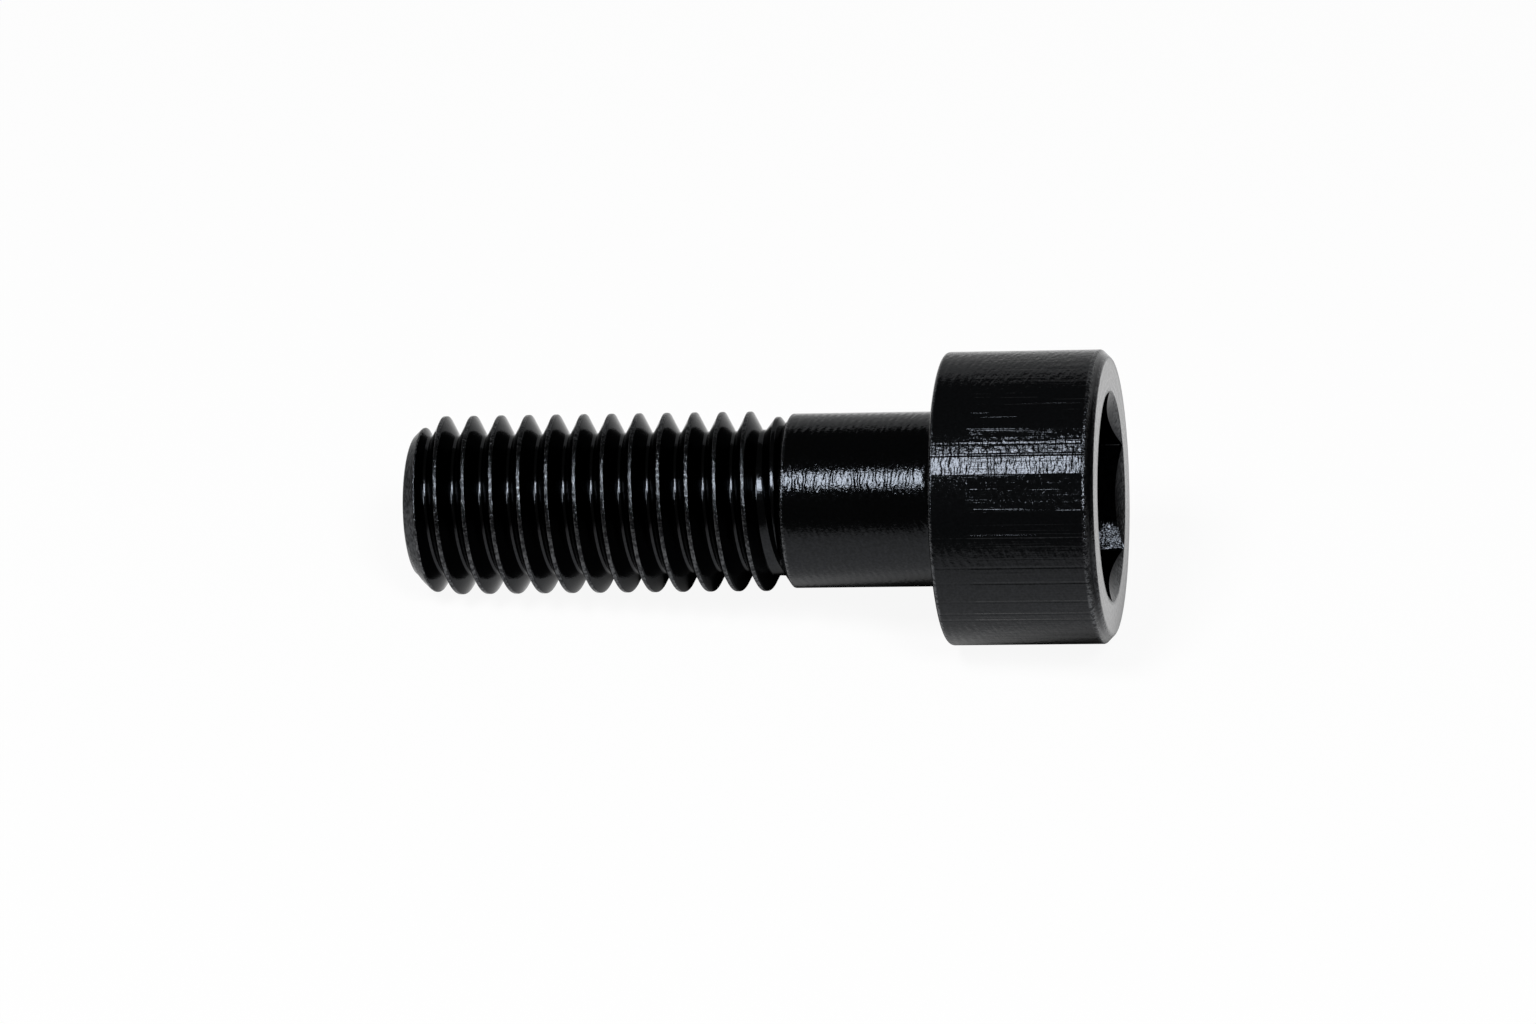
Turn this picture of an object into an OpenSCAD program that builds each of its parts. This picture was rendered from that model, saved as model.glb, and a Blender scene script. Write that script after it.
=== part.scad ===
// Socket head cap screw with a plain shank and a rolled metric thread, in millimetres.
// It is one solid piece, and it lies on its side as it comes to rest: on the rim of its head
// and on the first crest of its thread. +X points along the screw towards its head, +Z is up,
// and the origin is under the middle of the box that encloses it.

/* [Head] */
// Diameter of the head
head_d = 12.9; // [11:0.1:16]
// Height of the head, from its bearing face to its end face
head_h = 7.2; // [6.2:0.1:9]
// Chamfer round the end face, along and across the axis
head_chamfer = 0.3; // [0.1:0.05:0.6]
// Rounding of the rim of the bearing face
head_edge_r = 0.2; // [0.1:0.05:0.4]

/* [Socket] */
// Size of the hexagon across its flats
socket_af = 8.0; // [6:0.1:9]
// Depth of the hexagon's flats, from the end face
socket_depth = 4.4; // [4.2:0.1:5]
// Full angle of the cone in the bottom of the socket
socket_point_angle = 150; // [130:5:170]
// Full angle of the countersink round the mouth
mouth_angle = 120; // [90:5:130]
// How far the countersink opens past the hexagon's corners
mouth_extra = 0.03; // [0:0.01:0.2]

/* [Shank] */
// Diameter of the plain shank
shank_d = 7.7; // [7.2:0.05:8.5]
// Length of the plain shank, from the bearing face to the neck
shank_length = 7.2; // [4:0.05:12]
// Fillet between the shank and the bearing face
fillet_r = 0.8; // [0.2:0.05:1.2]
// Length of the chamfer at the shank's other end, next to the neck
shank_lead = 0.32; // [0.2:0.02:0.6]

/* [Thread] */
// Length under the head, from the bearing face to the tip
length = 24.0; // [20:0.1:40]
// Diameter over the thread's crests
thread_d = 7.94; // [7.2:0.01:8.6]
// Distance from one crest to the next along the axis
pitch = 1.25; // [1:0.05:1.5]
// Diameter of the neck where the thread runs out against the shank
neck_d = 6.76; // [6.6:0.02:7]
// How far before the neck the crests begin to fade out
runout_start = 0.8; // [0.5:0.05:1.2]
// How far past the neck, inside the shank, the last crest would be gone
runout_end = 0.65; // [0.4:0.05:0.8]
// Diameter of the flat end of the tip
tip_d = 6.1; // [5:0.05:6.2]
// Slope of the taper behind the flat end of the tip
tip_angle = 43; // [30:1:50]
// Height of the first whole crest over the tip, on the line that the screw lies on
crest_lead = 0.9; // [0.8:0.01:1.2]

/* [Hidden] */
$fn = 96;
eps = 0.01;
black = [0.05, 0.05, 0.055];

head_r = head_d / 2;
shank_r = shank_d / 2;
neck_r = neck_d / 2;
tip_r = tip_d / 2;
crest_r = thread_d / 2;
// metric form: flanks at 60 degrees to each other, a crest an eighth of the pitch wide
thread_h = 0.6134 * pitch;
crest_w = pitch / 8;
flank_w = thread_h * tan(30);
root_r = crest_r - thread_h;

tip_z = -length;
neck_z = -shank_length;
// the threaded rod ends inside the shank, so that the two are one solid
rod_top = neck_z + 0.5;

socket_corner_r = socket_af / 2 / cos(30);
mouth_r = socket_corner_r + mouth_extra;
mouth_h = (mouth_r - 0.9 * socket_af / 2) / tan(mouth_angle / 2);
point_h = socket_af / 2 / tan(socket_point_angle / 2);

// the line through the rim of the head and the first whole crest is the ground
lie_reach = length - crest_lead + head_edge_r;
lie_drop = head_r - crest_r;
lie_angle = atan2(lie_drop, lie_reach);
// axis height over the ground at the bearing face, and the middle of the box along the ground
lie_lift = (head_r - head_edge_r) * cos(lie_angle) + head_edge_r * (1 - sin(lie_angle));
far_x = head_h * cos(lie_angle) + (head_r - head_chamfer) * sin(lie_angle);
near_x = length * cos(lie_angle) + tip_r * sin(lie_angle);
lie_shift = (near_x - far_x) / 2;

// the thread is a grid of points: columns round the axis, four points to each pitch of a column
thread_segs = 48;
thread_rows = 4 * (ceil(length / pitch) + 4);
row_offset = [-crest_w / 2, crest_w / 2, crest_w / 2 + flank_w, pitch - crest_w / 2 - flank_w];
row_radius = [crest_r, crest_r, root_r, root_r];

function held(v, lo, hi) = min(max(v, lo), hi);

// middle of the crest that row m of the column at angle a belongs to
function crest_z(a, m) = tip_z + crest_lead + pitch * (a / 360 + floor(m / 4) - 2);

// where row m of that column comes, before it is cut off at the rod's ends
function row_z(a, m) = crest_z(a, m) + row_offset[m % 4];

// the root comes up to the neck over the last pitch before it
function root_at(z) = root_r + (neck_r - root_r) * held(1 + (z - neck_z) / pitch, 0, 1);

// share of its full height that a crest has in the run-out
function crest_share(zc) = held((neck_z + runout_end - zc) / (runout_end + runout_start), 0, 1);

// highest that the thread may stand at height z under the tip's taper
function taper_at(z) = tip_r + (z - tip_z) * tan(tip_angle);

function row_r(z, m, zc) =
    z <= tip_z ? tip_r :
    min(taper_at(z), max(root_r + (row_radius[m % 4] - root_r) * crest_share(zc), root_at(z) - eps));

function row_point(k, m) =
    let (a = 360 * k / thread_segs, z = row_z(a, m), r = row_r(z, m, crest_z(a, m)))
    [r * cos(a), r * sin(a), held(z, tip_z, rod_top)];

// the last row of a column at or below the tip, and the first at or above the rod's other end
function first_row(k) = len([for (m = [0 : thread_rows]) if (row_z(360 * k / thread_segs, m) <= tip_z) m]) - 1;
function last_row(k) = len([for (m = [0 : thread_rows]) if (row_z(360 * k / thread_segs, m) < rod_top) m]);
first_rows = [for (k = [0 : thread_segs - 1]) first_row(k)];
last_rows = [for (k = [0 : thread_segs - 1]) last_row(k)];

// number of the point in row m of column k; past the last column the rows are one pitch on
function point_id(k, m) =
    let (c = k % thread_segs, r = k < thread_segs ? m : m + 4)
    c * (thread_rows + 1) + held(r, first_rows[c], last_rows[c]);

module threaded_rod() {
    points = [for (k = [0 : thread_segs - 1]) for (m = [0 : thread_rows]) row_point(k, m)];
    flanks = [
        for (k = [0 : thread_segs - 1])
        for (m = [0 : thread_rows - 1])
        let (a = point_id(k, m), b = point_id(k, m + 1))
        let (c = point_id(k + 1, m + 1), d = point_id(k + 1, m))
        each [if (a != b) [a, b, c], if (c != d) [a, c, d]]
    ];
    tip_face = [for (k = [0 : thread_segs - 1]) point_id(k, 0)];
    far_face = [for (k = [thread_segs - 1 : -1 : 0]) point_id(k, thread_rows)];
    polyhedron(points, concat(flanks, [tip_face, far_face]));
}

// half section of the head and shank, right of the axis
module blank_section() {
    polygon([
        [0, neck_z],
        [neck_r, neck_z],
        [shank_r, neck_z + shank_lead],
        [shank_r, eps],
        [0, eps]
    ]);
    polygon([
        [0, 0],
        [head_r - head_edge_r, 0],
        [head_r - head_edge_r, head_edge_r],
        [head_r, head_edge_r],
        [head_r, head_h - head_chamfer],
        [head_r - head_chamfer, head_h],
        [0, head_h]
    ]);
    translate([head_r - head_edge_r, head_edge_r])
        circle(head_edge_r);
    difference() {
        translate([shank_r - eps, -fillet_r])
            square(fillet_r + eps);
        translate([shank_r + fillet_r, -fillet_r])
            circle(fillet_r);
    }
}

// hexagon with two flats level, a countersunk mouth and a shallow cone in its bottom
module hexagon_socket() {
    translate([0, 0, head_h - socket_depth])
        rotate([0, 0, 30])
            cylinder(r = socket_corner_r, h = socket_depth + 1, $fn = 6);
    translate([0, 0, head_h - mouth_h])
        cylinder(r1 = 0.9 * socket_af / 2, r2 = mouth_r, h = mouth_h);
    translate([0, 0, head_h - socket_depth - point_h])
        cylinder(r1 = 0, r2 = socket_af / 2, h = point_h);
}

module socket_screw() {
    color(black)
        translate([lie_shift, 0, lie_lift])
            rotate([0, 90 - lie_angle, 0])
                difference() {
                    union() {
                        rotate_extrude()
                            blank_section();
                        threaded_rod();
                    }
                    hexagon_socket();
                }
}

socket_screw();
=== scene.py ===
# %% [markdown]
# # A black socket head cap screw
# The screw lies on its side on a white table, as it comes to rest when it is put down. Its CAD model gives
# the frame: its size, its place and the way it lies. This lesson builds the same screw again with finer
# surfaces, gives each zone of it the finish that its making left, and sets up a small studio round it.

# %% Load the frame
import math

import bmesh
import bpy
from mathutils import Matrix, Vector


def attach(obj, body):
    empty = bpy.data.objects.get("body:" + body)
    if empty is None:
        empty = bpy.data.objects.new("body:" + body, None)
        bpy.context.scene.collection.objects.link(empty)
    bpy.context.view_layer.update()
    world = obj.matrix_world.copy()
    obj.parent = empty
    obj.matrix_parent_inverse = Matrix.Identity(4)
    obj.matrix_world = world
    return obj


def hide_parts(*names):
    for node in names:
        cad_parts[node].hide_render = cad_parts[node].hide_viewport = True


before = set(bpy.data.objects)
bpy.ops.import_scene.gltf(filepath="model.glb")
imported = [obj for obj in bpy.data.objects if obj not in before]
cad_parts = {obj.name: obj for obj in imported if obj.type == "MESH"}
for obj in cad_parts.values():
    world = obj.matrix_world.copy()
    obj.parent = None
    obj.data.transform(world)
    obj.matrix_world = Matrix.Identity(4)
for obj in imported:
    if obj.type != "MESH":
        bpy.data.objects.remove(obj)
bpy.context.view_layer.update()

MM = 0.001


# %% [markdown]
# ## The screw's own axes
# A screw is easiest to model standing on its own axis, in millimetres: z runs along the axis, with 0 on the
# bearing face under the head, the head above it and the thread below it. One matrix then lays the finished
# mesh down. It could also be stored on the object, but the object stays unturned at the origin here, so the
# matrix is applied to the vertices at the end.

# %% How the screw lies
HEAD_R, HEAD_EDGE_R = 6.45, 0.2
CREST_R, LENGTH, CREST_LEAD = 3.97, 24.0, 0.9
BEARING_FACE = Vector((8.18877, 0.0, 6.39373)) * MM
# it rests on the rim of the head and on the first whole crest, so its axis rises towards the head
LIE_ANGLE = math.atan2(HEAD_R - CREST_R, LENGTH - CREST_LEAD + HEAD_EDGE_R)
LIE_TURN = math.pi / 2 - LIE_ANGLE
lie_down = Matrix.Translation(BEARING_FACE) @ Matrix.Rotation(LIE_TURN, 4, "Y") @ Matrix.Scale(MM, 4)
print("the axis rises by", round(math.degrees(LIE_ANGLE), 3), "degrees towards the head")

# %% [markdown]
# ## The blank: head and shank
# On the real screw the head is forged and the shank is drawn, and both are round. A lathe profile is the
# natural start: a line of a few corners in the x-z plane. Bevelling a corner of a loose line rounds it, which
# makes the fillet under the head and the broken edges exact. Spin then turns the line round the axis.

# %% A line of corners and how to round them
def lathe_line(bm, corners):
    """Joins corners of (radius, height, rounding, steps) into one line, and rounds those with a rounding."""
    verts = [bm.verts.new((r, 0.0, z)) for r, z, _, _ in corners]
    for a, b in zip(verts, verts[1:]):
        bm.edges.new((a, b))
    for vert, (_, _, rounding, steps) in zip(verts, corners):
        if rounding:
            one, other = (e.other_vert(vert).co - vert.co for e in vert.link_edges)
            reach = rounding / math.tan(one.angle(other) / 2)
            bmesh.ops.bevel(bm, geom=[vert], offset=reach, offset_type="ABSOLUTE", affect="VERTICES",
                            segments=steps, profile=0.5, material=-1)


# %% Sizes of the blank
NECK_R, NECK_Z = 3.38, -7.2
SHANK_R, SHANK_LEAD, SHANK_EDGE_R, FILLET_R = 3.85, 0.32, 0.08, 0.6
HEAD_H, HEAD_CHAMFER, CHAMFER_EDGE_R = 7.2, 0.36, 0.12
SIDE_TOP, FACE_R = HEAD_H - HEAD_CHAMFER, HEAD_R - HEAD_CHAMFER
MOUTH_R, MOUTH_Z, MOUTH_EDGE_R = 4.645, HEAD_H - 0.01, 0.07
CONE_START_R, CONE_SLOPE = 4.625, math.tan(math.radians(60))
# each edge has another ring this far beside it, which later ends the wear on that edge
BESIDE = 0.15


def face_z(r):
    """Height of the end face, which falls off by a hair towards the socket."""
    return HEAD_H - (HEAD_H - MOUTH_Z) * (FACE_R - r) / (FACE_R - MOUTH_R)


def cone_z(r):
    """Height of the countersink in the socket's mouth."""
    return MOUTH_Z - (MOUTH_R - r) / CONE_SLOPE


print("end face from", round(FACE_R, 3), "in to", MOUTH_R, "mm from the axis")

# %% Turn the blank
ROUND_STEPS = 192
bm = bmesh.new()
lathe_line(bm, [
    (NECK_R, NECK_Z, 0, 0),
    (SHANK_R, NECK_Z + SHANK_LEAD, SHANK_EDGE_R, 4),
    (SHANK_R, NECK_Z + SHANK_LEAD + BESIDE, 0, 0),
    (SHANK_R, 0.0, FILLET_R, 10),
    (HEAD_R, 0.0, HEAD_EDGE_R, 6),
    (HEAD_R, HEAD_EDGE_R + BESIDE, 0, 0),
    (HEAD_R, SIDE_TOP - BESIDE, 0, 0),
    (HEAD_R, SIDE_TOP - BESIDE / 2, 0, 0),
    (HEAD_R, SIDE_TOP, CHAMFER_EDGE_R, 4),
    (HEAD_R - HEAD_CHAMFER / 2, HEAD_H - HEAD_CHAMFER / 2, 0, 0),
    (FACE_R, HEAD_H, CHAMFER_EDGE_R, 4),
    (FACE_R - BESIDE, face_z(FACE_R - BESIDE), 0, 0),
    (MOUTH_R + BESIDE, face_z(MOUTH_R + BESIDE), 0, 0),
    (MOUTH_R, MOUTH_Z, MOUTH_EDGE_R, 3),
    (CONE_START_R, cone_z(CONE_START_R), 0, 0),
])
bmesh.ops.spin(bm, geom=bm.verts[:] + bm.edges[:], cent=(0, 0, 0), axis=(0, 0, 1), dvec=(0, 0, 0),
               angle=2 * math.pi, steps=ROUND_STEPS, use_merge=True)
bmesh.ops.remove_doubles(bm, verts=bm.verts, dist=1e-4)
print("turned blank:", len(bm.verts), "vertices")

# %% [markdown]
# ## The hexagon socket
# A punch drives the hexagon into the head, and a countersink opens its mouth. The blank's last ring lies on
# that countersink. Extruding the ring and moving each vertex in to the hexagon's flat below it gives the
# curved edge where cone and flats meet, with no boolean. Four more extrusions make the flats and the bottom.

# %% Extrude a ring of edges
def extrude_ring(bm, ring):
    """Extrudes a closed ring of edges once, and returns the new ring's edges and vertices."""
    made = bmesh.ops.extrude_edge_only(bm, edges=ring)["geom"]
    verts = [g for g in made if isinstance(g, bmesh.types.BMVert)]
    edges = [g for g in made if isinstance(g, bmesh.types.BMEdge) and g.is_boundary]
    return edges, verts


def open_ring(bm, low, high):
    """The open edges of the mesh between two heights."""
    return [e for e in bm.edges if e.is_boundary and all(low < v.co.z < high for v in e.verts)]


# %% The hexagon round the axis
FLAT_R = 4.0
CORNER_R = FLAT_R / math.cos(math.pi / 6)


def hexagon_r(co):
    """How far the hexagon's wall is from the axis in the direction of a point."""
    from_flat = (math.atan2(co.y, co.x) + math.pi / 6) % (math.pi / 3) - math.pi / 6
    return FLAT_R / math.cos(from_flat)


def set_radius(vert, radius):
    """Moves a vertex straight out or in, to a distance from the axis."""
    flat = Vector((vert.co.x, vert.co.y))
    vert.co.xy = flat * (radius / flat.length)


print("hexagon:", 2 * FLAT_R, "mm across its flats,", round(2 * CORNER_R, 3), "mm across its corners")

# %% Countersink, flats and bottom
SOCKET_DEPTH, POINT_H = 4.4, 1.07
# the bottom starts a little inside the flats and a little under their foot
BOTTOM_R, BOTTOM_DROP = 0.985 * FLAT_R, 0.03

ring, verts = extrude_ring(bm, open_ring(bm, HEAD_H - 1, HEAD_H + 1))
for v in verts:
    wall = hexagon_r(v.co)
    set_radius(v, wall)
    v.co.z = cone_z(wall)
ring, verts = extrude_ring(bm, ring)
bmesh.ops.translate(bm, verts=verts, vec=(0, 0, -BESIDE))
ring, verts = extrude_ring(bm, ring)
for v in verts:
    v.co.z = HEAD_H - SOCKET_DEPTH
wall_foot = verts
ring, verts = extrude_ring(bm, ring)
for v in verts:
    set_radius(v, BOTTOM_R)
    v.co.z -= BOTTOM_DROP
ring, verts = extrude_ring(bm, ring)
bmesh.ops.pointmerge(bm, verts=verts, merge_co=(0, 0, HEAD_H - SOCKET_DEPTH - POINT_H))
print("socket:", SOCKET_DEPTH, "mm deep, with a point of", POINT_H, "mm")

# %% Round the socket's corners
CORNER_BEVEL, WALL_EDGE = 0.06, 2.0
corners = [e for v in wall_foot for e in v.link_edges
           if abs(e.verts[0].co.z - e.verts[1].co.z) > WALL_EDGE
           and abs(Vector(e.verts[0].co.xy).length - CORNER_R) < 1e-3]
bmesh.ops.bevel(bm, geom=corners, offset=CORNER_BEVEL, offset_type="OFFSET", affect="EDGES", segments=3,
                profile=0.5, material=-1, clamp_overlap=True)
print("hexagon socket:", len(corners), "corners rounded")

# %% [markdown]
# ## The thread
# Rolling dies press the thread into the blank: flanks at a little under 60 degrees to each other, a narrow flat
# crest and a narrow round root. One pitch of that profile, spun once round with a step along the axis, sweeps
# one turn of the helix. The turn is copied up the axis: each copy's lower edge lands on the upper edge of the
# turn before, and merging doubles joins them into one rod.

# %% One pitch of the profile
PITCH = 1.25
THREAD_H, FLANK_ANGLE = 0.688 * PITCH, math.radians(28.7)
ROOT_R, ROOT_EDGE_R = CREST_R - THREAD_H, 0.09
CREST_W, CREST_EDGE_R = 0.16, 0.05
FLANK_W, FLANK_EDGE, FLANK_CUTS = THREAD_H * math.tan(FLANK_ANGLE), 0.3, 10
first_crest = -LENGTH + CREST_LEAD - 2 * PITCH

thread = bmesh.new()
lathe_line(thread, [
    (ROOT_R, first_crest - PITCH / 2, 0, 0),
    (ROOT_R, first_crest - CREST_W / 2 - FLANK_W, ROOT_EDGE_R, 4),
    (CREST_R, first_crest - CREST_W / 2, CREST_EDGE_R, 3),
    (CREST_R, first_crest + CREST_W / 2, CREST_EDGE_R, 3),
    (ROOT_R, first_crest + CREST_W / 2 + FLANK_W, ROOT_EDGE_R, 4),
    (ROOT_R, first_crest + PITCH / 2, 0, 0),
])
flanks = [e for e in thread.edges if e.calc_length() > FLANK_EDGE]
bmesh.ops.subdivide_edges(thread, edges=flanks, cuts=FLANK_CUTS)
print("one pitch:", len(thread.verts), "points,", len(flanks), "flanks")

# %% Sweep it along the helix
TURN_STEPS, TURN_COPIES = 96, 15
bmesh.ops.spin(thread, geom=thread.verts[:] + thread.edges[:], cent=(0, 0, 0), axis=(0, 0, 1),
               dvec=(0, 0, PITCH / TURN_STEPS), angle=2 * math.pi, steps=TURN_STEPS)
one_turn = thread.verts[:] + thread.edges[:] + thread.faces[:]
for turn in range(1, TURN_COPIES + 1):
    copied = bmesh.ops.duplicate(thread, geom=one_turn)["geom"]
    bmesh.ops.translate(thread, verts=[g for g in copied if isinstance(g, bmesh.types.BMVert)],
                        vec=(0, 0, turn * PITCH))
bmesh.ops.remove_doubles(thread, verts=thread.verts, dist=1e-3)
print("swept thread:", len(thread.verts), "vertices")

# %% [markdown]
# ## Tip and run-out
# The blank's end was pointed before the thread was rolled, so the first turn starts low on a taper, and the
# last turn fades out against the shank. Both are limits on how far the thread may stand out at a height. The
# rod is cut level at both ends with bisect, some more cuts give the taper's edge its loops, and then every
# vertex that stands over the limit is drawn in to it.

# %% Cut the rod
# the hollow end stops a little short of the full length, and the rod's top a little short of the neck
TIP_Z, ROD_TOP = -LENGTH + 0.07, NECK_Z - 0.02
TAPER_CUTS = [0.02, 0.045, 0.08] + [0.12 + 0.035 * n for n in range(24)]


def cut(bm, height, clear_below=False, clear_above=False):
    """Cuts the mesh level at a height, and clears away what lies on one side if asked."""
    bmesh.ops.bisect_plane(bm, geom=bm.verts[:] + bm.edges[:] + bm.faces[:], dist=1e-5,
                           plane_co=(0, 0, height), plane_no=(0, 0, 1),
                           clear_inner=clear_below, clear_outer=clear_above)


cut(thread, TIP_Z, clear_below=True)
for step in TAPER_CUTS:
    cut(thread, TIP_Z + step)
cut(thread, ROD_TOP, clear_above=True)
# the cuts leave their vertices in a chance order; in a settled one, merging keeps the same ones in each run
thread.verts.sort(key=lambda v: v.co.z + math.atan2(v.co.y, v.co.x))
bmesh.ops.remove_doubles(thread, verts=thread.verts, dist=2e-3)
print("cut thread:", len(thread.verts), "vertices")

# %% The taper behind the tip
TIP_R, TIP_SLOPE, TIP_ROUND = 3.115, math.tan(math.radians(43)), 0.08


def taper_r(z):
    """Radius of the taper behind the tip, with its outer edge rounded."""
    up = z - TIP_Z
    return TIP_R + up * TIP_SLOPE - TIP_ROUND * max(1 - up / TIP_ROUND, 0) ** 2


def soft_min(a, b, k=0.03):
    """The smaller of two numbers, with a rounded change from one to the other."""
    h = max(k - abs(a - b), 0) / k
    return min(a, b) - h * h * k / 4


# %% Draw in the taper and the run-out
RUNOUT_START, RUNOUT_END, NECK_INSET = 0.8, 0.65, 0.01
# where taper and flank meet, the edge is worn down to a narrow land; these shares make it level along the axis
TAPER_SHARE, ROLLED_SHARE, TIP_LAND = 0.663, 0.337, 0.05


def thread_limit(co):
    """How far from the axis a point of the swept thread ends up."""
    r, z = Vector(co.xy).length, co.z
    climb = first_crest + PITCH * math.atan2(co.y, co.x) / (2 * math.pi)
    turn = (z - climb) / PITCH
    share = (NECK_Z + RUNOUT_END - climb - PITCH * round(turn)) / (RUNOUT_END + RUNOUT_START)
    ridge = ROOT_R + (r - ROOT_R) * min(max(share, 0), 1)
    # the root rises from groove to groove, and is level in the middle of each
    level_z = climb + PITCH * (turn + math.sin(2 * math.pi * turn) / (2 * math.pi))
    rise = min(max(1 + (level_z - NECK_Z) / PITCH, 0), 1)
    root = ROOT_R + (NECK_R - NECK_INSET - ROOT_R) * rise
    taper, rolled = taper_r(z), -soft_min(-ridge, -root)
    land = TAPER_SHARE * taper + ROLLED_SHARE * rolled - TIP_LAND
    return soft_min(soft_min(taper, rolled), land)


for v in thread.verts:
    set_radius(v, thread_limit(v.co))
print("thread from", TIP_Z, "to", NECK_Z, "mm")

# %% Close the tip
# the end face is slightly hollow, as a rolled end is: each ring's share of its radius, and how deep it lies
TIP_RINGS, HOLLOW_DEPTH = ((0.86, 0.0), (0.72, 0.10), (0.40, 0.16)), 0.18
ring = open_ring(thread, TIP_Z - 0.01, TIP_Z + 0.01)
for share, depth in TIP_RINGS:
    ring, verts = extrude_ring(thread, ring)
    for v in verts:
        set_radius(v, share * TIP_R)
        v.co.z = TIP_Z + depth
ring, verts = extrude_ring(thread, ring)
bmesh.ops.pointmerge(thread, verts=verts, merge_co=(0, 0, TIP_Z + HOLLOW_DEPTH))
print("tip:", TIP_R, "mm in radius, hollow by", HOLLOW_DEPTH, "mm")

# %% [markdown]
# ## One piece of steel
# Thread and blank are one piece on the real screw. The two open rings at the neck are bridged, which makes
# the mesh one closed shell, and its normals are recalculated afterwards. Each face takes the finish of its
# zone from its height and radius, while the mesh still stands on its axis.

# %% Join the thread to the blank
thread_mesh = bpy.data.meshes.new("thread_sweep")
thread.to_mesh(thread_mesh)
thread.free()
bm.from_mesh(thread_mesh)
bpy.data.meshes.remove(thread_mesh)
bmesh.ops.bridge_loops(bm, edges=[e for e in bm.edges if e.is_boundary])
bmesh.ops.recalc_face_normals(bm, faces=bm.faces)
print("closed:", all(e.is_manifold for e in bm.edges), "volume", round(bm.calc_volume(), 1), "cubic mm")

# %% Zones
THREAD, SHANK, HEAD, FACE, SOCKET = range(5)
UNDER_HEAD, FILLET_OUT = -0.02, SHANK_R + 0.75
SOCKET_OUT, SOCKET_LOW, FACE_LOW = MOUTH_R - 0.01, 0.5, SIDE_TOP + 0.03


def zone_of(face):
    """The zone that a face belongs to, from its height and its distance from the axis."""
    centre = face.calc_center_median()
    r = Vector(centre.xy).length
    if centre.z < NECK_Z:
        return THREAD
    if centre.z < UNDER_HEAD and r < FILLET_OUT:
        return SHANK
    if r < SOCKET_OUT and centre.z > SOCKET_LOW:
        return SOCKET
    return FACE if centre.z > FACE_LOW else HEAD


zone_faces = [0] * 5
for face in bm.faces:
    face.material_index = zone_of(face)
    face.smooth = True
    zone_faces[face.material_index] += 1
print("faces of thread, shank, head, end face and socket:", zone_faces)

# %% Worn edges
# edges that touch other things first: the crests, the tip's edge, the rims of the head and the socket's mouth
RIMS = [(SHANK_R, NECK_Z + SHANK_LEAD), (HEAD_R, HEAD_EDGE_R / 2), (HEAD_R, SIDE_TOP),
        (FACE_R, HEAD_H), (MOUTH_R, MOUTH_Z)]
LAND_WEAR, CREST_WEAR, RIM_WEAR, TAPER_WEAR = 1.0, 0.75, 0.8, 0.4
# how far the land lies under the taper, how close to it the taper's own surface is, and where both start
LAND_LEAST, LAND_MOST, TAPER_SKIN, TAPER_FROM = 0.003, 0.10, 0.01, TIP_Z + 0.03
CREST_TOP, RIM_REACH, NO_TAPER = CREST_R - 0.015, 0.08, 1.0

worn = bm.verts.layers.float.new("worn_edge")
for v in bm.verts:
    r, z = Vector(v.co.xy).length, v.co.z
    to_rim = min(math.hypot(r - rim_r, z - rim_z) for rim_r, rim_z in RIMS)
    under_taper = taper_r(z) - r if TAPER_FROM < z < NECK_Z else NO_TAPER
    if LAND_LEAST < under_taper < LAND_MOST:
        v[worn] = LAND_WEAR
    elif r > CREST_TOP and z < NECK_Z:
        v[worn] = CREST_WEAR
    elif to_rim < RIM_REACH:
        v[worn] = RIM_WEAR
    elif under_taper < TAPER_SKIN:
        v[worn] = TAPER_WEAR
print("worn vertices:", sum(v[worn] > 0 for v in bm.verts), "of", len(bm.verts))

# %% Lay it down
SHARP_FROM = math.radians(32)
bmesh.ops.transform(bm, matrix=lie_down, verts=bm.verts)
screw_mesh = bpy.data.meshes.new("cap_screw")
bm.to_mesh(screw_mesh)
bm.free()
screw_mesh.set_sharp_from_angle(angle=SHARP_FROM)
screw = bpy.data.objects.new("cap_screw", screw_mesh)
bpy.context.scene.collection.objects.link(screw)
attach(screw, "root")
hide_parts("socket_screw")
print("cap screw:", sum(len(p.vertices) - 2 for p in screw_mesh.polygons), "triangles")

# %% [markdown]
# ## Black oxide
# Black oxide is a thin, dense, slightly oiled skin on the steel. Nearly all the light that it shows is in its
# reflections, and they are weak: two or three parts in a hundred seen straight on. A metal shader with a nearly
# black base colour has just that, because a metal's base colour is its reflection. What tells the zones apart is
# the relief that their making left under the skin. All patterns are measured in millimetres on the screw's own
# axes, which one Mapping node gives from Object coordinates.

# %% Patterns on the screw's own axes
def screw_place(tree):
    """Object coordinates as millimetres along the screw's own axes."""
    where = tree.nodes.new("ShaderNodeTexCoord")
    turned = tree.nodes.new("ShaderNodeMapping")
    turned.vector_type = "TEXTURE"
    turned.inputs["Location"].default_value = BEARING_FACE
    turned.inputs["Rotation"].default_value = (0, LIE_TURN, 0)
    turned.inputs["Scale"].default_value = (MM, MM, MM)
    tree.links.new(where.outputs["Object"], turned.inputs["Vector"])
    return turned.outputs["Vector"]


def grain(tree, place, per_mm, detail=2.0):
    """Noise with so many grains to a millimetre along x, y and z of the screw."""
    stretched = tree.nodes.new("ShaderNodeVectorMath")
    stretched.operation = "MULTIPLY"
    stretched.inputs[1].default_value = per_mm
    tree.links.new(place, stretched.inputs[0])
    noise = tree.nodes.new("ShaderNodeTexNoise")
    noise.inputs["Scale"].default_value = 1.0
    noise.inputs["Detail"].default_value = detail
    tree.links.new(stretched.outputs["Vector"], noise.inputs["Vector"])
    return noise.outputs["Fac"]


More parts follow.
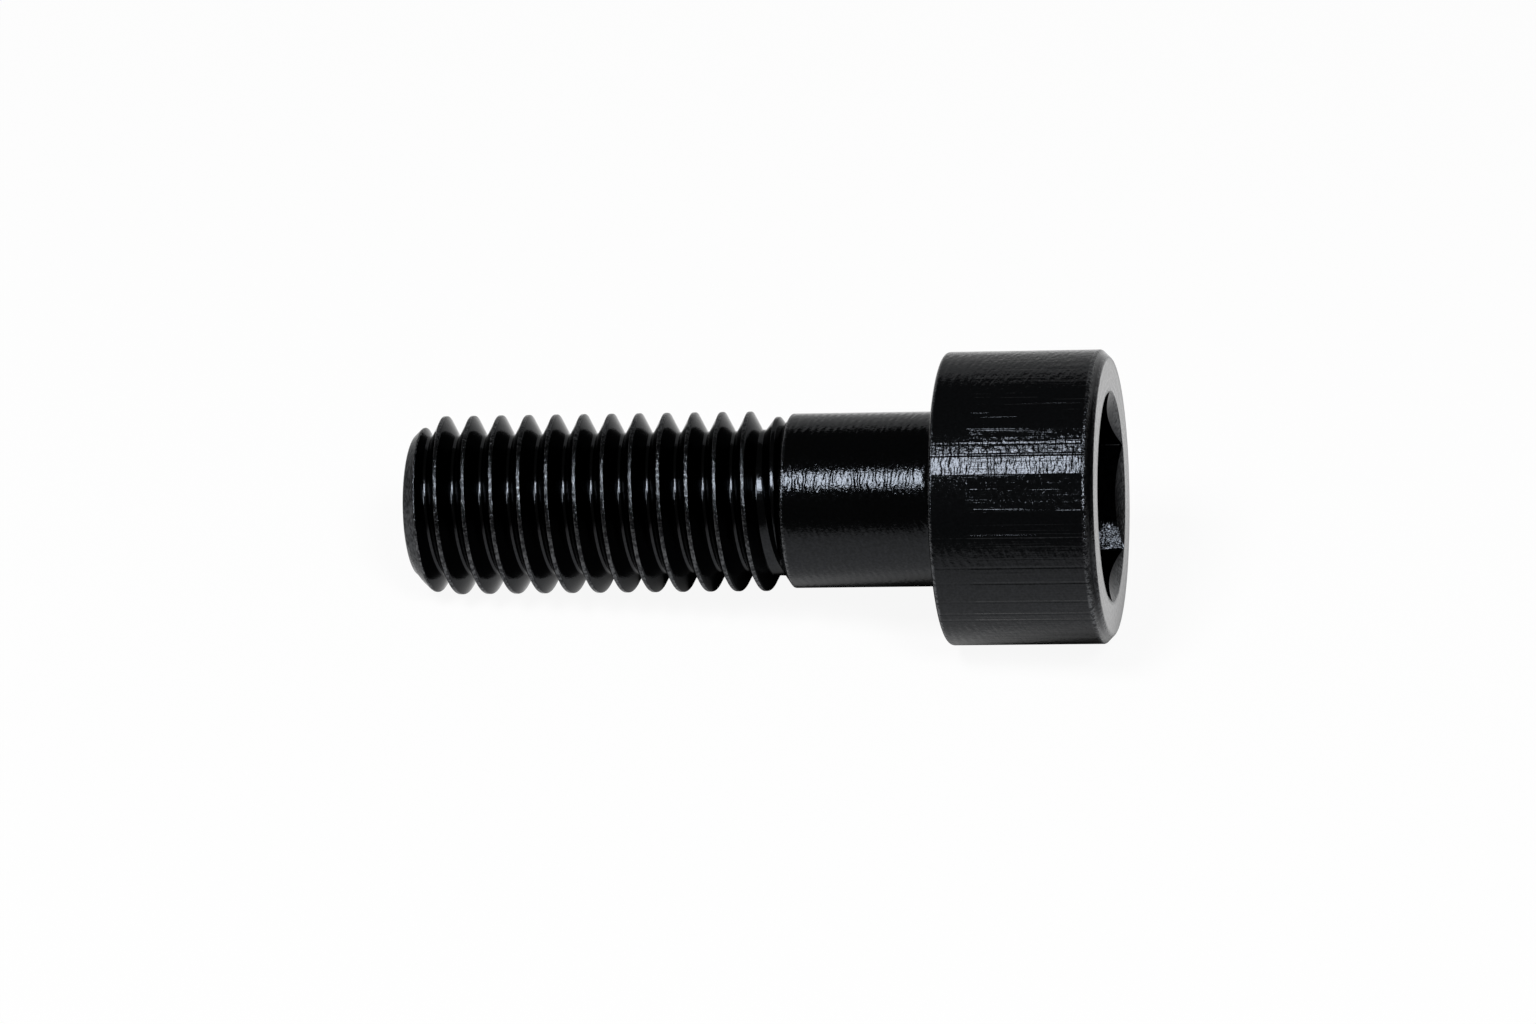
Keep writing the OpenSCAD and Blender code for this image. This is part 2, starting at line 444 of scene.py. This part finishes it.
# %% Stretch, combine and mix patterns
def spread(tree, pattern, low, high, to_low, to_high):
    """Stretches the part of a pattern between low and high over another range."""
    ranged = tree.nodes.new("ShaderNodeMapRange")
    for name, value in (("From Min", low), ("From Max", high), ("To Min", to_low), ("To Max", to_high)):
        ranged.inputs[name].default_value = value
    tree.links.new(pattern, ranged.inputs["Value"])
    return ranged.outputs["Result"]


def combine(tree, operation, one, other):
    """One Math node on two patterns, or on a pattern and a number."""
    node = tree.nodes.new("ShaderNodeMath")
    node.operation = operation
    for socket, value in zip(node.inputs, (one, other)):
        if isinstance(value, (int, float)):
            socket.default_value = value
        else:
            tree.links.new(value, socket)
    return node.outputs["Value"]


def blend_colours(tree, share, low, high):
    """Mixes two colours, or the output of a mix and a colour, by a pattern."""
    mix = tree.nodes.new("ShaderNodeMix")
    mix.data_type = "RGBA"
    tree.links.new(share, mix.inputs["Factor"])
    for socket, value in ((mix.inputs[6], low), (mix.inputs[7], high)):
        if isinstance(value, tuple):
            socket.default_value = value
        else:
            tree.links.new(value, socket)
    return mix.outputs[2]


# %% The skin's colours
OXIDE_DEEP, OXIDE_THIN = (0.0205, 0.0213, 0.0226, 1), (0.0270, 0.0281, 0.0302, 1)
WORN_STEEL = (0.105, 0.108, 0.113, 1)
# most of a noise lies between these two values
NOISE_LOW, NOISE_HIGH = 0.35, 0.65
RUBBED_FROM, RUBBED_TO = 0.42, 0.56


def worn_edges(tree):
    """The wear that was stored on the mesh."""
    edge = tree.nodes.new("ShaderNodeAttribute")
    edge.attribute_name = "worn_edge"
    return edge.outputs["Fac"]


def skin_colour(tree, place):
    """Thin and deep oxide in specks, rubbed through to the steel on the worn edges."""
    thin = spread(tree, grain(tree, place, (9, 9, 9)), NOISE_LOW, NOISE_HIGH, 0.0, 1.0)
    skin = blend_colours(tree, thin, OXIDE_DEEP, OXIDE_THIN)
    specks = grain(tree, place, (6, 6, 6), detail=3.0)
    rubbed = combine(tree, "MULTIPLY", worn_edges(tree),
                     spread(tree, specks, RUBBED_FROM, RUBBED_TO, 0.0, 1.0))
    return blend_colours(tree, rubbed, skin, WORN_STEEL)


# %% The skin's shader
FINE_GRAIN, PIT_DEPTH = (12, 12, 12), 0.038


def black_oxide(name, roughness, grazing, relief, scattered=0.0):
    """A finish of black oxide: the range of its roughness, how much of the light it mirrors at a grazing angle,
    relief(tree, place), which gives its layers and their heights in millimetres, and the share that is dull."""
    finish = bpy.data.materials.new(name)
    finish.use_nodes = True
    tree = finish.node_tree
    shader = tree.nodes["Principled BSDF"]
    shader.inputs["Metallic"].default_value = 1.0 - scattered
    shader.inputs["Specular Tint"].default_value = (grazing, grazing, grazing, 1)
    place = screw_place(tree)
    tree.links.new(skin_colour(tree, place), shader.inputs["Base Color"])
    patches = grain(tree, place, (5, 5, 5), detail=3.0)
    tree.links.new(spread(tree, patches, NOISE_LOW, NOISE_HIGH, *roughness), shader.inputs["Roughness"])

    bump = tree.nodes.new("ShaderNodeBump")
    bump.inputs["Distance"].default_value = MM
    # rubbed edges are pitted on every zone
    pits = combine(tree, "MULTIPLY", worn_edges(tree), grain(tree, place, FINE_GRAIN))
    height = 0.0
    for layer, millimetres in relief(tree, place) + [(pits, PIT_DEPTH)]:
        height = combine(tree, "ADD", combine(tree, "MULTIPLY", layer, millimetres), height)
    tree.links.new(height, bump.inputs["Height"])
    tree.links.new(bump.outputs["Normal"], shader.inputs["Normal"])
    return finish


# %% [markdown]
# ## One finish for each zone
# The rolled thread is the smoothest, with faint lines along the helix. The drawn shank has fine wavy rings round
# it, which break up its highlight. The head's side has long axial streaks and a scaly grain on all but the part
# next to the bearing face, and the die left a few flat facets and fine grooves along it, which split its highlight
# into bands. The end face was turned, so its marks are circles. The punched socket is rough, and its metal is torn
# and rolled over at one corner.

# %% Thread and shank
def ripples(tree, place, period, wander=5.0):
    """Wavy rings round the axis, so many millimetres apart, that wander by so many radians."""
    wave = tree.nodes.new("ShaderNodeTexWave")
    wave.wave_type, wave.bands_direction = "BANDS", "Z"
    # at a scale of 1 the bands are pi / 10 apart
    wave.inputs["Scale"].default_value = math.pi / 10 / period
    wave.inputs["Distortion"].default_value = wander
    wave.inputs["Detail"].default_value = 2.0
    wave.inputs["Detail Scale"].default_value = 1.6
    tree.links.new(place, wave.inputs["Vector"])
    return wave.outputs["Fac"]


def rolled_relief(tree, place):
    """A fine grain, and faint lines round the thread."""
    return [(grain(tree, place, FINE_GRAIN), 0.004),
            (grain(tree, place, (1.0, 1.0, 8)), 0.004)]


def drawn_relief(tree, place):
    """A fine grain, wavy rings, and slow dents."""
    return [(grain(tree, place, FINE_GRAIN), 0.007),
            (ripples(tree, place, 0.34), 0.009),
            (grain(tree, place, (1.8, 1.8, 7), detail=1.0), 0.010),
            (grain(tree, place, (0.7, 0.7, 0.7), detail=1.0), 0.02)]


thread_oxide = black_oxide("rolled_thread_oxide", (0.08, 0.15), 0.6, rolled_relief)
shank_oxide = black_oxide("drawn_shank_oxide", (0.07, 0.14), 0.9, drawn_relief)
print("finishes of thread and shank:", thread_oxide.name, shank_oxide.name)

# %% Facets and grooves along the head
# the angle round the axis, half the width in degrees, and how deep it goes; 1 is a flat facet
DRAW_LINES = [(-132.75, 3.65, 1.0), (-138.9, 2.0, 0.6), (-121.7, 7.4, 1.0),
              (-136.7, 0.8, 60.0), (-141.2, 0.6, 20.0), (-146.6, 0.5, 12.0),
              (-104.0, 0.5, 30.0), (-92.0, 0.6, 36.0), (-85.0, 0.6, 46.0),
              (-75.5, 0.7, 36.0), (-68.5, 0.7, 46.0), (-64.5, 0.7, 40.0)]


def split(tree, place):
    """The three coordinates of a place as patterns of their own."""
    parts = tree.nodes.new("ShaderNodeSeparateXYZ")
    tree.links.new(place, parts.inputs["Vector"])
    return parts.outputs


def draw_lines(tree, place):
    """How much lower than a round head the facets and grooves lie, in millimetres."""
    parts = split(tree, place)
    angle = combine(tree, "ARCTAN2", parts["Y"], parts["X"])
    sunk = 0.0
    for middle, half, depth in DRAW_LINES:
        off = combine(tree, "SUBTRACT", angle, math.radians(middle))
        under_round = combine(tree, "SUBTRACT", math.radians(half) ** 2, combine(tree, "MULTIPLY", off, off))
        cut_in = combine(tree, "MULTIPLY", combine(tree, "MAXIMUM", under_round, 0.0), -depth * HEAD_R / 2)
        sunk = combine(tree, "ADD", cut_in, sunk)
    return sunk


# %% Side of the head
STREAKS_FROM, STREAK_FADE = 1.75, 0.15
SCRATCH_FROM, SCRATCH_TO = 0.61, 0.68


def streaked_relief(tree, place):
    """Rings next to the bearing face, streaks and scales on the rest, and the facets and grooves."""
    height = split(tree, place)["Z"]

    def change(below, above):
        return spread(tree, height, STREAKS_FROM - STREAK_FADE, STREAKS_FROM + STREAK_FADE, below, above)

    def only(mask, pattern):
        return combine(tree, "MULTIPLY", mask, combine(tree, "SUBTRACT", pattern, 0.5))

    streaked, ringed = change(0.0, 1.0), change(1.0, 0.2)
    scratches = spread(tree, grain(tree, place, (9, 9, 0.13)), SCRATCH_FROM, SCRATCH_TO, 0.5, 0.0)
    # the facets and grooves are shallower on the ringed part
    lines = combine(tree, "MULTIPLY", change(0.4, 1.0), draw_lines(tree, place))
    return [(grain(tree, place, FINE_GRAIN), 0.008),
            (only(ringed, ripples(tree, place, 0.38)), 0.010),
            (only(ringed, grain(tree, place, (1.8, 1.8, 7), detail=1.0)), 0.011),
            (only(streaked, grain(tree, place, (2.5, 2.5, 6), detail=1.0)), 0.032),
            (only(streaked, grain(tree, place, (5.0, 5.0, 0.12), detail=3.0)), 0.010),
            (only(streaked, grain(tree, place, (0.9, 0.9, 0.04), detail=1.0)), 0.022),
            (lines, 1.0),
            (only(streaked, grain(tree, place, (11, 11, 0.06))), 0.006),
            (only(streaked, scratches), 0.008)]


head_oxide = black_oxide("streaked_head_oxide", (0.07, 0.14), 0.72, streaked_relief, scattered=0.065)
print("finish of the head:", head_oxide.name, "with", len(DRAW_LINES), "facets and grooves")

# %% End face
RINGS_PER_MM = 7.0


def from_axis(tree, place):
    """Distance from the screw's axis, in millimetres."""
    flat = tree.nodes.new("ShaderNodeVectorMath")
    flat.operation = "MULTIPLY"
    flat.inputs[1].default_value = (1, 1, 0)
    tree.links.new(place, flat.inputs[0])
    length = tree.nodes.new("ShaderNodeVectorMath")
    length.operation = "LENGTH"
    tree.links.new(flat.outputs["Vector"], length.inputs[0])
    return length.outputs["Value"]


def turned_relief(tree, place):
    """Uneven circles round the axis, as a turning tool leaves."""
    rings = tree.nodes.new("ShaderNodeTexNoise")
    rings.noise_dimensions = "1D"
    rings.inputs["Scale"].default_value = RINGS_PER_MM
    tree.links.new(from_axis(tree, place), rings.inputs["W"])
    return [(grain(tree, place, (10, 10, 10)), 0.0015),
            (rings.outputs["Fac"], 0.009)]


face_oxide = black_oxide("turned_face_oxide", (0.12, 0.20), 1.0, turned_relief)
print("finish of the end face:", face_oxide.name)

# %% Socket
# where the torn corner starts along x and y, and where it ends at its flat: the countersink beyond is whole
TORN_X, TORN_Y, TORN_END = (2.85, 3.15), (2.0, 2.4), (FLAT_R + 0.01, FLAT_R + 0.05)
# that flat faces 60 degrees away from x
FLAT_X, FLAT_Y = 0.5, 0.866


def punched_relief(tree, place):
    """A rough skin with marks along the punch's way, and one corner whose torn metal leans out and curls."""
    parts = split(tree, place)
    torn = combine(tree, "MULTIPLY", spread(tree, parts["X"], *TORN_X, 0.0, 1.0),
                   spread(tree, parts["Y"], *TORN_Y, 0.0, 1.0))
    from_flat = combine(tree, "ADD", combine(tree, "MULTIPLY", parts["X"], FLAT_X),
                        combine(tree, "MULTIPLY", parts["Y"], FLAT_Y))
    torn = combine(tree, "MULTIPLY", torn, spread(tree, from_flat, *TORN_END, 1.0, 0.0))

    def bulge(coordinate, start, level):
        off = combine(tree, "SUBTRACT", coordinate, start)
        curve = combine(tree, "SUBTRACT", combine(tree, "MULTIPLY", off, off), level)
        return combine(tree, "MULTIPLY", torn, curve)

    lean, curl = bulge(parts["Z"], 5.2, 1.7), bulge(parts["X"], 2.7, 0.1)
    return [(grain(tree, place, (8, 8, 8), detail=3.0), 0.006),
            (grain(tree, place, (5, 5, 0.6)), 0.008),
            (combine(tree, "MULTIPLY", torn, grain(tree, place, (8, 8, 8), detail=1.0)), 0.036),
            (lean, -0.091), (curl, 0.10)]


socket_oxide = black_oxide("punched_socket_oxide", (0.10, 0.18), 0.7, punched_relief)
for finish in (thread_oxide, shank_oxide, head_oxide, face_oxide, socket_oxide):
    screw_mesh.materials.append(finish)
print("finishes:", [m.name for m in screw_mesh.materials])

# %% [markdown]
# ## Camera
# A long lens from above and in front, a little to the head's side. Its place comes from the slopes and the
# foreshortening of the rims, crests and roots in the picture.

# %% The camera
EYE = Vector((40.44, -277.65, 170.97)) * MM
AIM = Vector((0.14, 0.0, 5.524)) * MM
ROLL, DROP = math.radians(0.34), 0.47 * MM
camera = bpy.data.cameras.new("camera")
camera.sensor_width, camera.lens = 36.0, 172.9
camera.clip_start = 0.01
back = (EYE - AIM).normalized()
right = Matrix.Rotation(ROLL, 3, back) @ Vector((0, 0, 1)).cross(back).normalized()
up = back.cross(right)
turned_to_aim = Matrix((right, up, back)).transposed().to_4x4()
viewer = bpy.data.objects.new("camera", camera)
viewer.matrix_world = Matrix.Translation(EYE - up * DROP) @ turned_to_aim
bpy.context.scene.collection.objects.link(viewer)
bpy.context.scene.camera = viewer
print("camera", round((EYE - AIM).length / MM, 1), "mm away")

# %% [markdown]
# ## Table and backdrop
# A glossy black part is drawn by what it mirrors, so the studio is part of its look. The table is a white
# sweep: flat under the screw, then up behind it. A few corners with one rounded bend, extruded sideways, make
# it. Its shader adds a steady white for what the camera and the reflections see to a plain diffuse white, so
# it stays white round the screw and still takes the screw's soft shadow. The camera sees that white everywhere.
# The white that the steel mirrors has light and shade painted in by its place on the table: a painted shadow right
# under the screw, and a painted falloff from bright close to the screw to dim towards the front, the sides and the
# back, as on a small lit table in a dark room.

# %% The white sweep
TABLE_FRONT, WALL_Y, WALL_TOP, TABLE_SIDE, BEND = -1.2, 0.75, 0.62, 1.6, 0.25
bm = bmesh.new()
line = [bm.verts.new((-TABLE_SIDE, y, z)) for y, z in ((TABLE_FRONT, 0), (WALL_Y, 0), (WALL_Y, WALL_TOP))]
for a, b in zip(line, line[1:]):
    bm.edges.new((a, b))
bmesh.ops.bevel(bm, geom=[line[1]], offset=BEND, offset_type="ABSOLUTE", affect="VERTICES", segments=12,
                profile=0.5, material=-1)
swept = bmesh.ops.extrude_edge_only(bm, edges=bm.edges[:])["geom"]
bmesh.ops.translate(bm, verts=[g for g in swept if isinstance(g, bmesh.types.BMVert)],
                    vec=(2 * TABLE_SIDE, 0, 0))
bmesh.ops.recalc_face_normals(bm, faces=bm.faces)
sweep_mesh = bpy.data.meshes.new("white_sweep")
bm.to_mesh(sweep_mesh)
bm.free()
for face in sweep_mesh.polygons:
    face.use_smooth = True
sweep = bpy.data.objects.new("white_sweep", sweep_mesh)
bpy.context.scene.collection.objects.link(sweep)
print("white sweep:", len(sweep_mesh.polygons), "faces")

# %% Its white
STEADY_WHITE, TABLE_WHITE = 0.92, (0.090, 0.0845, 0.078, 1)
paper = bpy.data.materials.new("white_paper")
paper.use_nodes = True
tree = paper.node_tree
tree.nodes.remove(tree.nodes["Principled BSDF"])
diffuse = tree.nodes.new("ShaderNodeBsdfDiffuse")
diffuse.inputs["Color"].default_value = TABLE_WHITE
rays = tree.nodes.new("ShaderNodeLightPath").outputs
spot = split(tree, tree.nodes.new("ShaderNodeTexCoord").outputs["Object"])
table_x, table_y = spot["X"], spot["Y"]
print("paper:", paper.name)

# %% Where the steel mirrors it, with a painted shadow and painted falloffs
# each change of the painted light and shade in the mirrored white on the table: where it starts and ends, in
# metres
UNDER, BEHIND, PAST_HEAD = (-0.0024, 0.0), (0.006, 0.012), (0.0155, 0.017)
BESIDE_HEAD, AT_HEAD, FAR_SIDE = (0.014, 0.036), (0.0185, 0.025), (0.05, 0.15)
BEFORE_HEAD, BEFORE_ALL = (-0.0075, -0.0055), (-0.045, -0.007)
FAR_BACK, PAST_TIP = (0.012, 0.12), (-0.085, -0.045)
# two directions slant over the table: so much of x is added to y, and so much of y is taken from x
ACROSS_X, ASIDE_Y = 0.2, 1.3

behind = spread(tree, table_y, *BEHIND, 0.0, 1.0)
past_head = spread(tree, table_x, *PAST_HEAD, 0.0, 1.0)
across = combine(tree, "ADD", table_y, combine(tree, "MULTIPLY", table_x, ACROSS_X))
aside = combine(tree, "SUBTRACT", table_x, combine(tree, "MULTIPLY", table_y, ASIDE_Y))
# 0 in the painted shadow right under the screw
clear_of_painted_shadow = combine(tree, "MAXIMUM", combine(tree, "MAXIMUM", behind, past_head),
                    spread(tree, across, *UNDER, 1.0, 0.0))
# a painted falloff beside the head, but not in front of it
beside_head = spread(tree, aside, *BESIDE_HEAD, 1.0, 0.0)
for lit in (spread(tree, table_x, *AT_HEAD, 1.0, 0.0), spread(tree, table_x, *FAR_SIDE, 0.0, 0.25),
            spread(tree, table_y, *BEFORE_HEAD, 0.62, 0.0)):
    beside_head = combine(tree, "MAXIMUM", beside_head, lit)

# %% How much of it the steel mirrors, after the painted shadow and falloffs
# the painted shadow under the screw and the painted falloffs of light darken the white that only the reflections
# see
painted_fades = [clear_of_painted_shadow,
         spread(tree, table_y, *BEFORE_ALL, 0.0, 1.0),
         spread(tree, table_y, *FAR_BACK, 1.0, 0.65),
         beside_head,
         combine(tree, "MAXIMUM", behind, spread(tree, table_x, *PAST_TIP, 0.15, 1.0))]
mirrored = combine(tree, "ADD", rays["Is Glossy Ray"], rays["Is Transmission Ray"])
for fade in painted_fades:
    mirrored = combine(tree, "MULTIPLY", mirrored, fade)
print("the mirrored white fades in", len(painted_fades), "ways")

# %% Add it to a plain white
steady = tree.nodes.new("ShaderNodeEmission")
white_seen = combine(tree, "ADD", rays["Is Camera Ray"], mirrored)
tree.links.new(combine(tree, "MULTIPLY", white_seen, STEADY_WHITE), steady.inputs["Strength"])
both = tree.nodes.new("ShaderNodeAddShader")
tree.links.new(diffuse.outputs["BSDF"], both.inputs[0])
tree.links.new(steady.outputs["Emission"], both.inputs[1])
tree.links.new(both.outputs["Shader"], tree.nodes["Material Output"].inputs["Surface"])
sweep_mesh.materials.append(paper)
print("nodes in the paper:", len(tree.nodes))

# %% [markdown]
# ## Softboxes and room
# A softbox stands above and in front of the screw. Its mirror image is the bright strip along the head, the
# shank and every crest and root. On a cylinder the strip's height tells how high the softbox is and how tall it
# looks. A second one, further towards the head, reaches into the socket. The room round them is dark, which
# keeps the rest of the screw black.

# %% Softboxes
AXIS = (lie_down.to_3x3() @ Vector((0, 0, 1))).normalized()
FRONT = (back - back.dot(AXIS) * AXIS).normalized()
RISE = FRONT.cross(AXIS)
COOL_WHITE = (0.86, 0.92, 1.0)


def softbox(name, along_axis, turn, half_wide, half_tall, far, white):
    """A softbox seen from the screw at an angle above the camera, with its half angles and its brightness."""
    turn = math.radians(turn)
    round_axis = math.cos(turn) * FRONT + math.sin(turn) * RISE
    way = math.sqrt(1 - along_axis ** 2) * round_axis + along_axis * AXIS
    side = (AXIS - AXIS.dot(way) * way).normalized()
    light = bpy.data.lights.new(name, "AREA")
    light.shape = "RECTANGLE"
    light.size = 2 * far * math.tan(math.radians(half_wide))
    light.size_y = 2 * far * math.tan(math.radians(half_tall))
    # so many watts make its face that bright
    light.energy = white * math.pi * light.size * light.size_y
    light.color = COOL_WHITE
    lamp = bpy.data.objects.new(name, light)
    turned_to_screw = Matrix((side, way.cross(side), way)).transposed().to_4x4()
    lamp.matrix_world = Matrix.Translation(way * far) @ turned_to_screw
    bpy.context.scene.collection.objects.link(lamp)
    print(name, [round(c, 3) for c in lamp.matrix_world.translation], round(light.energy, 2), "watts")


softbox("main_softbox", along_axis=-0.176, turn=27.5, half_wide=7.0, half_tall=8.5, far=0.60, white=25.0)
softbox("side_softbox", along_axis=0.40, turn=18.0, half_wide=7.0, half_tall=9.0, far=0.60, white=20.0)

# %% The room
ROOM_GREY = (0.06, 0.06, 0.06, 1)
room = bpy.data.worlds.new("dark_room")
room.use_nodes = True
room.node_tree.nodes["Background"].inputs["Color"].default_value = ROOM_GREY
bpy.context.scene.world = room
bpy.context.scene.view_settings.view_transform = "Standard"
print("room:", room.name)
